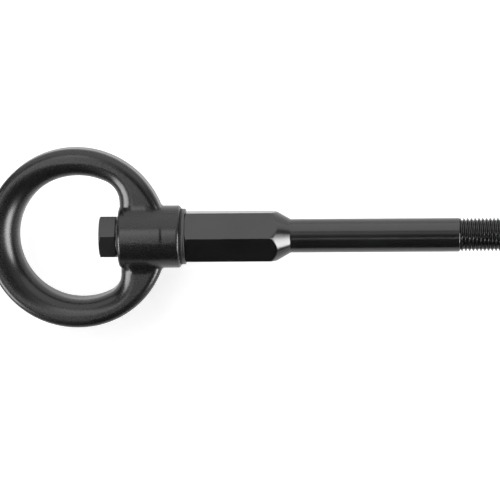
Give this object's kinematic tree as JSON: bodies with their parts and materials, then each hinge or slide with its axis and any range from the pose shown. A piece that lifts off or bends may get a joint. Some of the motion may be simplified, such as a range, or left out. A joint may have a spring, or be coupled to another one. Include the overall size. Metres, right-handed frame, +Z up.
{
  "type": "tow eye",
  "caption": "Screw-in tow eye: a forged black ring that swivels on a bolt at the end of a hexagonal shaft with a threaded tip.",
  "frame": {"origin": "on the shaft's axis, at the shoulder where the thread starts", "axes": "+X along the shaft and out of the threaded end; +Z up as it lies on a bench, with the ring close to the XY plane"},
  "size_m": [0.2911, 0.0962, 0.0338],
  "materials": {
    "ring_coat": "satin black coat on a forged and turned steel ring",
    "shaft_coat": "semi-gloss black coat on turned steel",
    "bolt_coat": "satin black oxide",
    "washer_steel": "dark zinc plate with a light rim",
    "thrust_plastic": "black wear-resistant plastic"
  },
  "bodies": {
    "shaft": {"hex_shaft": "shaft_coat", "swivel_bolt": "bolt_coat", "head_washer": "washer_steel", "thrust_washer": "thrust_plastic", "plain_washer": "washer_steel"},
    "ring": {"tow_ring": "ring_coat"}
  },
  "joints": [
    {"name": "ring_swivel", "type": "hinge", "parent": "shaft", "child": "ring", "pos_m": [-0.16529, 0, 0], "axis": [1, 0, 0], "continuous": true}
  ]
}
